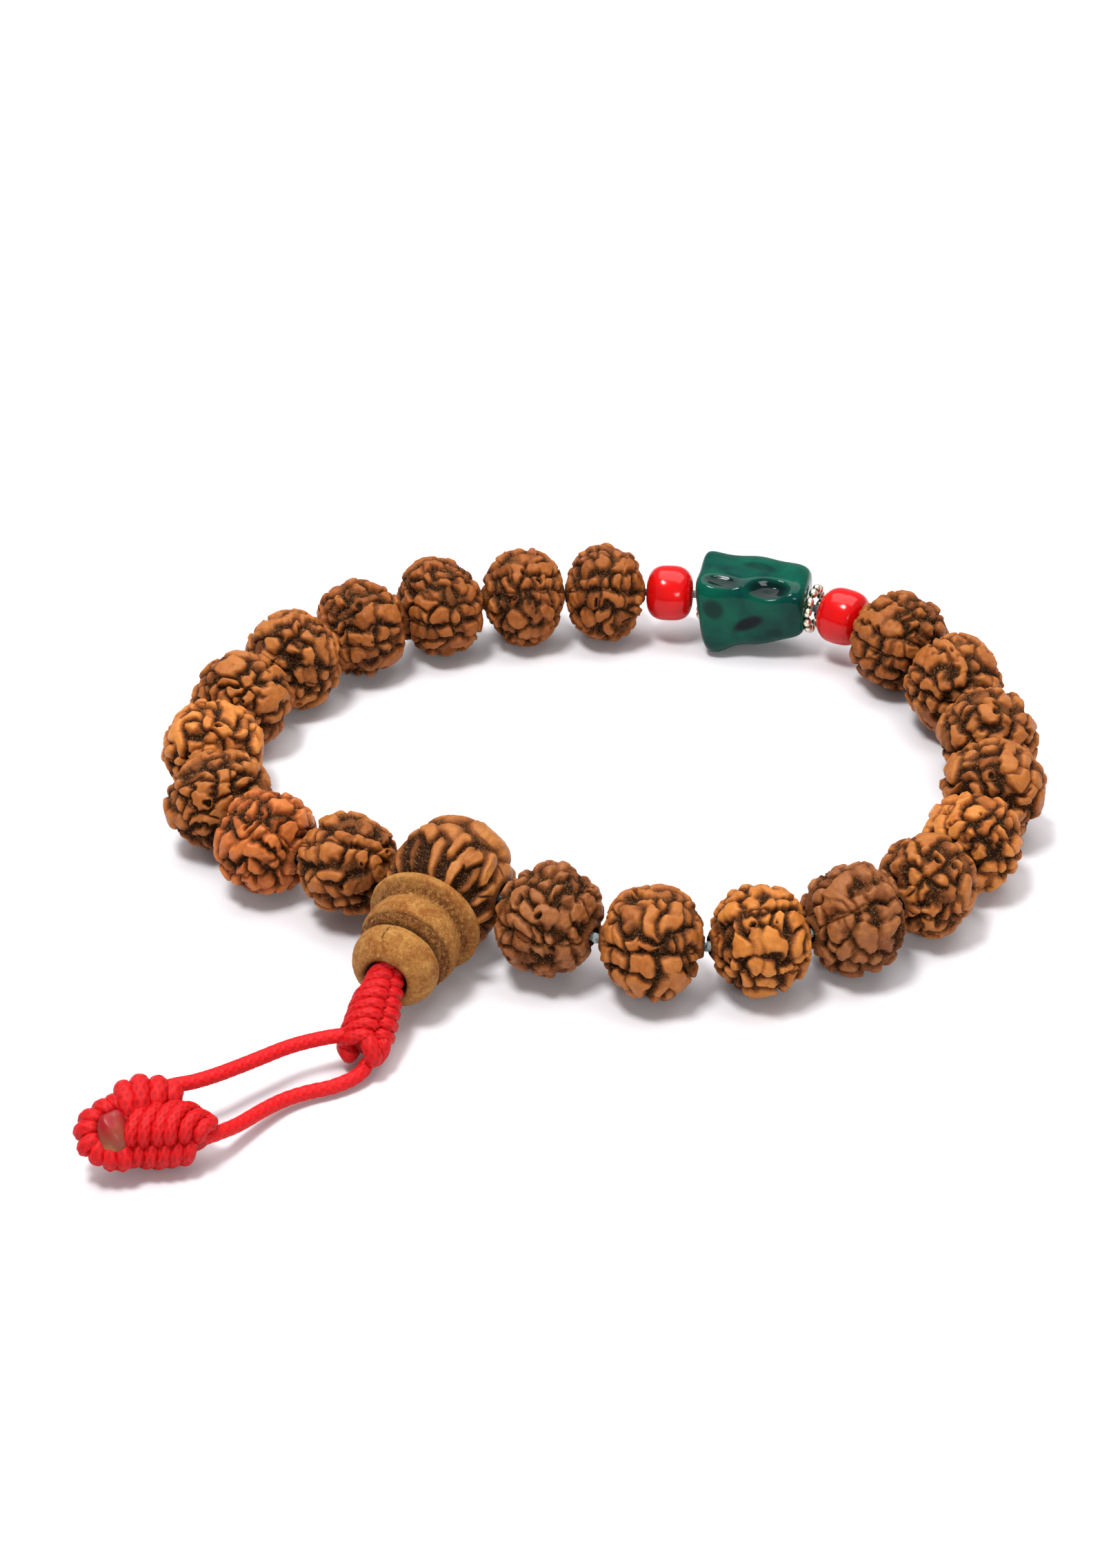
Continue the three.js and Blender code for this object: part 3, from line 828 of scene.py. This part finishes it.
# The pagoda bead from its seat on the guru seed to the tail's mouth: (distance, radius).
PAGODA_PROFILE = [
    (4.78, 4.5), (4.86, 4.78), (5.02, 4.97), (5.25, 5.05), (5.5, 5.05), (5.68, 4.98), (5.8, 4.84),
    (5.9, 4.62), (6.02, 4.38), (6.2, 4.14), (6.45, 3.98), (6.75, 3.93), (7.0, 4.0), (7.2, 4.1),
    (7.5, 4.2), (7.9, 4.27), (8.35, 4.28), (8.75, 4.24), (9.05, 4.14), (9.2, 4.02), (9.27, 3.86),
    (9.36, 3.88), (9.44, 4.0), (9.6, 4.02), (9.8, 3.96), (9.98, 3.82), (10.08, 3.58),
    (10.13, 3.22), (10.22, 3.12), (10.3, 3.24), (10.38, 3.46), (10.5, 3.62), (10.75, 3.72),
    (11.1, 3.77), (11.6, 3.76), (12.05, 3.66), (12.5, 3.46), (12.9, 3.18), (13.2, 2.84),
    (13.36, 2.5), (13.42, 2.18), (13.34, 1.95), (13.0, 1.75), (12.5, 1.5), (11.8, 1.25),
]
PAGODA_BORE = 1.15
PAGODA_SEAT = 6.2
CRACK_TURN = math.radians(8)
CRACK_WIDTH = 0.014  # radians
PAGODA_SEAT_RIM = 4.75


def make_pagoda():
    seat_wide = math.degrees(math.acos(PAGODA_SEAT_RIM / PAGODA_SEAT))
    seat_narrow = math.degrees(math.asin(PAGODA_BORE / PAGODA_SEAT))
    seat = arc((0, 0), PAGODA_SEAT, seat_narrow, seat_wide, 24)
    outline = refined([*seat, *PAGODA_PROFILE], 0.10)

    def reshape(along, turn, reach):
        place = cylindrical(reach, turn, along)
        outside = reach > 2.4
        lathe_marks = 0.012 * np.sin(along * 26 + 2 * waves(81, 6, 5.0)(place))
        torn = np.exp(-(((along - 9.7) / 0.42) ** 2)) + 0.8 * np.exp(-(((along - 6.4) / 0.36) ** 2))
        torn = torn.clip(0, 1)
        chips = np.random.default_rng(84).normal(size=len(reach))
        pores = waves(82, 24, 0.42)(place) + 0.5 * chips
        crack = np.exp(-(wrapped(turn - CRACK_TURN + 0.02 * np.sin(3 * along)) / CRACK_WIDTH) ** 2)
        crack = crack * ((along > 10.9) & (along < 12.2)) * outside
        moved = reach + outside * (lathe_marks + 0.03 * waves(83, 10, 1.6)(place)
                                   - 0.05 * pores * (0.25 + torn)) - 0.12 * crack
        # painted shade: darker wood in the countersunk mouth round the tail and in the two lathe
        # grooves; the crack is the wood's own dark line
        mouth_painted_shade = smooth_step((2.35 - reach) / 0.7) * (along > 11)
        groove_painted_shade = np.exp(-(((along - 10.18) / 0.12) ** 2))
        groove_painted_shade = groove_painted_shade + 0.6 * np.exp(-(((along - 9.28) / 0.08) ** 2))
        cavity = np.maximum(0.75 * (groove_painted_shade * outside).clip(0, 1), np.maximum(mouth_painted_shade, crack))
        # painted shade inside the hole
        inside = (reach < 2.4) & (along < 11)
        rim = smooth_step((5.75 - along) / 0.2) * outside
        rough = (0.85 * torn + 0.25 * (pores > 0.6) * torn - 0.25 * rim).clip(-0.3, 1)
        return moved, {"cavity": np.maximum(cavity, inside * 0.6), "rough": rough}

    turned_piece("pagoda_wood", "pagoda_bead", outline, 200, GURU_CENTRE, PAGODA_AXIS, reshape,
                 wood_shader(), "pagoda_bead", "pagoda_wood")


CORAL_BORE = 0.8
CORAL_PLUMPNESS = 2.9


def make_corals():
    material = coral_shader()
    for node in ("coral_bead_right", "coral_bead_left"):
        centre, axis, low, high, radius = bead(node)
        half = (high - low) / 2 + 0.12
        across, along = plump(np.linspace(0, math.pi, 60), CORAL_PLUMPNESS)
        outer = [(-a * half, r * radius) for a, r in zip(along, across)
                 if r * radius > CORAL_BORE + 0.15]
        inner = [(a, CORAL_BORE) for a in np.linspace(0.96 * half, -0.96 * half, 8)]

        def reshape(along, turn, reach, key=node):
            place = cylindrical(reach, turn, along)
            uneven = 0.05 * waves((len(key), 91), 6, 5.0)(place)
            return reach + uneven * (reach > 1.2), {"cavity": np.zeros(len(reach))}

        turned_piece(node.replace("bead", "barrel"), node, outer + inner, 96,
                     centre + axis * (low + high) / 2, axis, reshape, material, node, "coral")


GRANULES = 12
GRANULE_RADIUS = 0.5
SPACER_SHIFT = 0.2  # towards the nugget, where the photograph has them


def make_spacers():
    material = silver_shader()
    for node in ("silver_spacer_right", "silver_spacer_left"):
        centre, axis, low, high, radius = bead(node)
        ring = radius - GRANULE_RADIUS
        angle, turn = full_turn(28), full_turn(GRANULES * 20)
        phase = ((turn * GRANULES / (2 * math.pi)) % 1 - 0.5) * 2 * math.pi * ring / GRANULES
        tube = np.sqrt((GRANULE_RADIUS**2 - phase**2).clip(0.22**2))
        out = ring + tube[None] * np.cos(angle)[:, None]
        along = tube[None] * np.sin(angle)[:, None] * 0.9
        turns, along = np.broadcast_arrays(turn, along)
        local = cylindrical(out, turns, along).reshape(-1, 3)
        towards_nugget = SPACER_SHIFT if node.endswith("right") else -SPACER_SHIFT
        points = centre + towards_nugget * axis + local @ basis(axis)
        faces = facing_out(points, ring_faces(len(angle), len(turn)))
        cavity = np.tile(smooth_step((0.36 - tube) / 0.14), len(angle))
        make_piece(node.replace("spacer", "granules"), points, faces, material, node, "silver",
                   [node], cavity=cavity)


NUGGET_BORE = 0.9
NUGGET_HALVES = (3.1, 4.5)  # half its width at its start and end
NUGGET_CORNER = 4.4  # 2 is round, more is squarer
NUGGET_SQUARENESS = 7  # of its length, in the same sense
# Dents and dark clouds of the nugget: (share along it, degrees from the top towards the outside
# of the ring, half length and half width in millimetres, tilt in degrees, depth, darkness).
# The outside of the ring is the side away from the wrist.
NUGGET_MARKS = [
    (0.80, -40, 1.7, 0.75, 3, 0.38, 0.85),
    (0.37, -41, 2.3, 1.05, -6, 0.85, 0.9),
    (0.53, -100, 1.8, 0.75, -28, 0.10, 1.0),
    (0.86, -80, 1.1, 1.1, 0, 0.0, 0.7),
    (0.28, -116, 0.9, 0.5, 15, 0.0, 0.4),
    (0.50, 6, 1.8, 0.7, 10, 0.04, 0.5),
    (0.70, 75, 1.5, 0.8, -20, 0.35, 0.7),
    (0.30, 110, 1.3, 0.6, 30, 0.15, 0.8),
    (0.55, 165, 1.6, 0.9, 0, 0.30, 0.6),
]
NUGGET_TILT = 1.5  # millimetres by which its narrow end sits higher than its wide end


def make_nugget():
    node = "green_nugget_bead"
    centre, axis, low, high, _ = bead(node)
    length = high - low
    start_half, end_half = NUGGET_HALVES
    share, along = plump(np.linspace(0.12, math.pi - 0.12, 90), NUGGET_SQUARENESS)
    along = -along * length / 2
    outer = np.stack([along, share], 1)
    bore_along = np.linspace(along[-1] - 0.02, along[0] + 0.02, 8)
    outline = refined(np.vstack([outer * (1, 4), np.stack([bore_along, np.zeros(8)], 1)]), 0.14)
    outline[:, 1] = outline[:, 1] / 4

    def reshape(along, turn, share):
        place = (along - low) / length
        half = start_half + (end_half - start_half) * place
        square = (np.abs(np.cos(turn + 0.06)) ** NUGGET_CORNER
                  + np.abs(np.sin(turn + 0.06)) ** NUGGET_CORNER)
        reach = share * half / square ** (1 / NUGGET_CORNER)
        reach = reach + share * NUGGET_TILT * (0.5 - place) * np.cos(turn)
        body = cylindrical(reach, turn, along)
        reach = reach + 0.16 * waves(95, 7, 6.5)(body) * (share > 0.1)
        dark = np.zeros(len(reach))
        for at, degrees, half_long, half_wide, tilt, depth, shade in NUGGET_MARKS:
            away = wrapped(turn - math.radians(degrees))
            u, v = along - low - at * length, away * half
            c, s = math.cos(math.radians(tilt)), math.sin(math.radians(tilt))
            gap = np.hypot((c * u + s * v) / half_long, (c * v - s * u) / half_wide)
            reach = reach - depth * smooth_step((1.25 - gap) / 1.0)
            dark = np.maximum(dark, shade * smooth_step((1.2 - gap) / 0.55))
        # painted shade: the bore is painted near black
        bored = share < 0.1
        return np.where(bored, NUGGET_BORE, np.maximum(reach, NUGGET_BORE)), {
            "cavity": np.where(bored, 1.0, dark)}

    outline[:, 0] += 0.5 * smooth_step((outline[:, 0] / high - 0.6) / 0.3) * (outline[:, 1] > 0.72)

    turned_piece("green_nugget", node, outline, 180, centre, axis, reshape, nugget_shader(), node,
                 "green_stone",
                 lambda along, turn, reach: 0.17 * reach * np.cos(turn) * smooth_step(along / high))


# -------------------- elastic

ELASTIC_RADIUS = 0.4
KNOT_REACH = 1.4  # of the elastic's knot and the clearance round it
KNOT_STRAND_RADIUS = 0.22


def make_elastic():
    """The elastic through every bead, and its knot inside the guru seed."""
    material = elastic_shader()
    guru_low, guru_high, _ = cad_extent("guru_seed", GURU_CENTRE, GURU_AXIS)
    points = [GURU_CENTRE + GURU_AXIS * KNOT_REACH, GURU_CENTRE + GURU_AXIS * guru_high]
    for node in THREADED:
        points += [mouth(node, -1), mouth(node, 1)]
    points += [GURU_CENTRE + GURU_AXIS * guru_low, GURU_CENTRE - GURU_AXIS * KNOT_REACH]
    route = smooth_route(points, 0.4)
    make_piece("elastic_thread", *lofted(rings_round(route, ELASTIC_RADIUS, full_turn(14))),
               material, "ring", "elastic", ["elastic_cord"])
    turn = full_turn(160)
    wide = 2 + np.cos(3 * turn)
    trefoil = np.stack([wide * np.cos(2 * turn), wide * np.sin(2 * turn), np.sin(3 * turn)], 1)
    centre_line = GURU_CENTRE + (trefoil * 0.25) @ basis(GURU_AXIS)
    closed = np.vstack([centre_line, centre_line[:1]])
    knot = rings_round(closed, KNOT_STRAND_RADIUS, full_turn(12))[:-1].reshape(-1, 3)
    make_piece("elastic_trefoil_knot", knot, facing_out(knot, ring_faces(160, 12)), material,
               "ring", "elastic", ["elastic_knot"])


# -------------------- knots of the tail

STEM_START = joint_place("tail_stem")
STEM_END = joint_place("tail_loop")
KNOT_KEY = 5  # of the random numbers in each row of turns
KNOT_SHADE = 0.4  # by which the tight knots are darker than the loop


def filler(start, end, start_radius, end_radius):
    """A round-ended core that fills the middle of a knot, painted dark red as shade in the knot's
    pockets.
    """
    axis = unit(end - start)
    length = np.linalg.norm(end - start)
    share = np.linspace(0, 1, 24)
    centre = start + share[:, None] * (end - start)
    radius = start_radius + (end_radius - start_radius) * share
    radius = radius * np.sqrt((1 - (2 * share - 1) ** 6).clip(0.01))
    one, two, _ = basis(axis)
    angle = full_turn(24)
    ring = np.cos(angle)[:, None] * one + np.sin(angle)[:, None] * two
    points, faces = lofted(centre[:, None] + radius[:, None, None] * ring[None])
    # painted shade: the core's value darkens it in the cord shader
    return points, faces, np.full(len(points), 0.9)


def half_turns(spine, radii, places, meeting, lean, cord_radius, sweeps=(200, 150), dive=0.6):
    """Turns of cord about a spine, each of two half turns that dive under one another where they
    meet, at an angle from the top towards the outside. radii runs along the spine's length, and
    places are the turns' distances along it."""
    rng = np.random.default_rng(KNOT_KEY)
    spine = smooth_route(spine, 0.05)
    along = distances(spine)
    ahead = unit_rows(np.gradient(spine, axis=0))
    upward = unit_rows(UP - (ahead @ UP)[:, None] * ahead)
    outward = np.cross(ahead, upward)
    parts = []
    pitch = float(np.diff(places).mean())
    for at in places:
        for sense, sweep_end, late in ((1, sweeps[0], 0.0), (-1, sweeps[1], 0.45 * pitch)):
            sweep = np.radians(np.linspace(0, sweep_end, 14))
            slant = sense * lean * rng.uniform(0.85, 1.15)
            place = at + late + rng.normal(0, 0.05) + slant * (0.5 - 0.5 * np.cos(sweep * 0.9))
            place = place.clip(0.05, along[-1] - 0.05)
            reach = np.interp(place, np.linspace(0, along[-1], len(radii)), radii) - cord_radius
            reach = reach * rng.uniform(0.96, 1.04) - dive * np.exp(-((sweep / 0.28) ** 2))
            turn = meeting + sense * sweep
            rows = [np.stack([np.interp(place, along, field[:, k]) for k in range(3)], 1)
                    for field in (spine, upward, outward)]
            points = rows[0] + reach[:, None] * (
                np.cos(turn)[:, None] * rows[1] + np.sin(turn)[:, None] * rows[2])
            parts.append(braided_tube(smooth_route(points, 0.1), cord_radius))
    return parts


def make_stem_knot(material):
    axis = unit(STEM_END - STEM_START)
    upward, outward, _ = basis(axis)

    def at(along, up, out):
        return STEM_END + along * axis + up * upward + out * outward

    length = np.linalg.norm(STEM_END - STEM_START)
    parts = half_turns([STEM_START - 1.5 * axis, STEM_END + 0.5 * axis],
                       [1.45, 1.62, 1.86, 2.18, 2.3, 2.28, 2.15], np.arange(0.4, length + 1.9, 1.0),
                       math.radians(-42), 2.0, 0.57)
    lobes = [
        [at(-0.5, -0.2, 1.1), at(0.3, -0.1, 1.55), at(1.0, -0.3, 1.15), at(1.25, -0.6, 0.4)],
        [at(-0.1, 0.9, -0.4), at(0.6, 1.2, -0.85), at(1.3, 0.6, -1.25), at(1.6, -0.2, -1.0)],
        [at(-0.6, 0.6, -1.5), at(0.2, 0.3, -1.75), at(0.9, -0.3, -1.4), at(1.2, -0.7, -0.7)],
    ]
    for lobe, radius in zip(lobes, (0.74, 0.76, 0.6)):
        parts.append(braided_tube(smooth_route(lobe, 0.1), radius))
    parts.append(filler(STEM_START - 1.3 * axis, STEM_END + 0.9 * axis, 1.2, 1.4))
    points, faces, cavity = joined(parts)
    return make_piece("red_stem_knot", points, faces, material, "tail_stem", "red_cord",
                      ["tail_stem_knot"], cavity=cavity + KNOT_SHADE)


# The end knot's two columns of turns, each from beside the loop to the far end.
COLUMN_FRONT = [(-30.9, -52.1, 2.8), (-34.0, -52.2, 2.85), (-37.8, -52.8, 2.85)]
FRONT_RADII = [1.5, 2.2, 2.55, 2.7, 2.7, 2.65, 2.5, 2.2]
COLUMN_REAR = [(-33.8, -48.8, 4.1), (-35.2, -49.5, 4.2), (-36.8, -50.2, 4.3), (-38.3, -51.2, 4.3)]
REAR_RADII = [1.1, 1.75, 2.1, 2.2, 2.1, 1.9]
# The turns that fan out round the melted end.
FAN = [(-37.9, -51.0, 4.3), (-39.5, -52.0, 4.2), (-40.05, -53.1, 3.7), (-39.75, -54.0, 3.05),
       (-38.7, -54.4, 2.6), (-37.3, -54.2, 2.3), (-36.4, -53.7, 2.1)]
FAN_RADII = [1.5, 1.42, 1.35, 1.35, 1.35, 1.4, 1.4]


def make_end_knot(material):
    parts = half_turns(COLUMN_FRONT, FRONT_RADII, np.arange(0.9, 6.9, 1.08), math.radians(-75),
                       -2.4, CORD_RADIUS, (165, 165), 1.0)
    parts += half_turns(COLUMN_REAR, REAR_RADII, np.arange(0.9, 5.2, 1.3), math.radians(-120), -0.9,
                        0.82, (190, 120), 0.5)
    parts += half_turns(FAN, FAN_RADII, np.arange(0.3, 7.0, 0.92), math.radians(-60), 0.3, 0.72,
                        (190, 170), 0.3)
    parts.append(filler(np.array(COLUMN_FRONT[0]), np.array(COLUMN_FRONT[-1]), 1.3, 1.7))
    parts.append(filler(np.array(COLUMN_REAR[0]), np.array((-38.6, -52.6, 3.5)), 1.1, 1.8))
    points, faces, cavity = joined(parts)
    return make_piece("red_end_knot", points, faces, material, "tail_loop", "red_cord",
                      ["tail_end_knot"], cavity=cavity + KNOT_SHADE)


MELTED_CENTRE = np.array((-38.15, -53.95, 4.1))
MELTED_HALVES = (1.15, 1.0, 1.9)  # across it, through it and up its face
MELTED_FACING = math.radians(35)  # by which its face leans back


def make_melted_end():
    turn = full_turn(40)
    polar = np.linspace(0.02, math.pi - 0.02, 30)
    directions = on_sphere(polar[:, None], turn[None, :])
    uneven = waves(99, 8, 1.9)(directions.reshape(-1, 3) * 1.2).reshape(30, 40, 1)
    local = directions * MELTED_HALVES * (1 + 0.16 * uneven)
    c, s = math.cos(MELTED_FACING), math.sin(MELTED_FACING)
    rings = MELTED_CENTRE + local @ np.array([(1, 0, 0), (0, c, -s), (0, s, c)])
    points, faces = lofted(rings)
    return make_piece("melted_tip", points, faces, melted_shader(), "tail_loop", "melted_cord",
                      ["tail_melted_end"], cavity=(points[:, 2] - points[:, 2].min()) / 3.2)


CORE_STRAND_RADIUS = 0.42


def make_core_cord(material):
    """Two strands side by side inside the pagoda bead."""
    low, high, _ = cad_extent("tail_core_cord", GURU_CENTRE, PAGODA_AXIS)
    _, outward, axis = basis(PAGODA_AXIS)
    places = np.linspace(low, high, 30)
    parts = []
    for side in (-1, 1):
        middle = GURU_CENTRE + places[:, None] * axis + side * CORE_STRAND_RADIUS * outward
        parts.append(braided_tube(smooth_route(middle, 0.15), CORE_STRAND_RADIUS, sides=16))
    points, faces, cavity = joined(parts)
    make_piece("red_core_strands", points, faces, material, "ring", "red_cord",
               ["tail_core_cord"], cavity=cavity)


# -------------------- the whole mala

make_camera()
make_stage()
red = cord_shader()
loop, loop_route = make_loop(red)
stem_knot = make_stem_knot(red)
end_knot = make_end_knot(red)
tip = make_melted_end()
make_core_cord(red)
make_elastic()
make_pagoda()
make_corals()
make_spacers()
make_nugget()
make_guru()
make_seeds()

scene = bpy.context.scene
scene.view_settings.view_transform = "Standard"
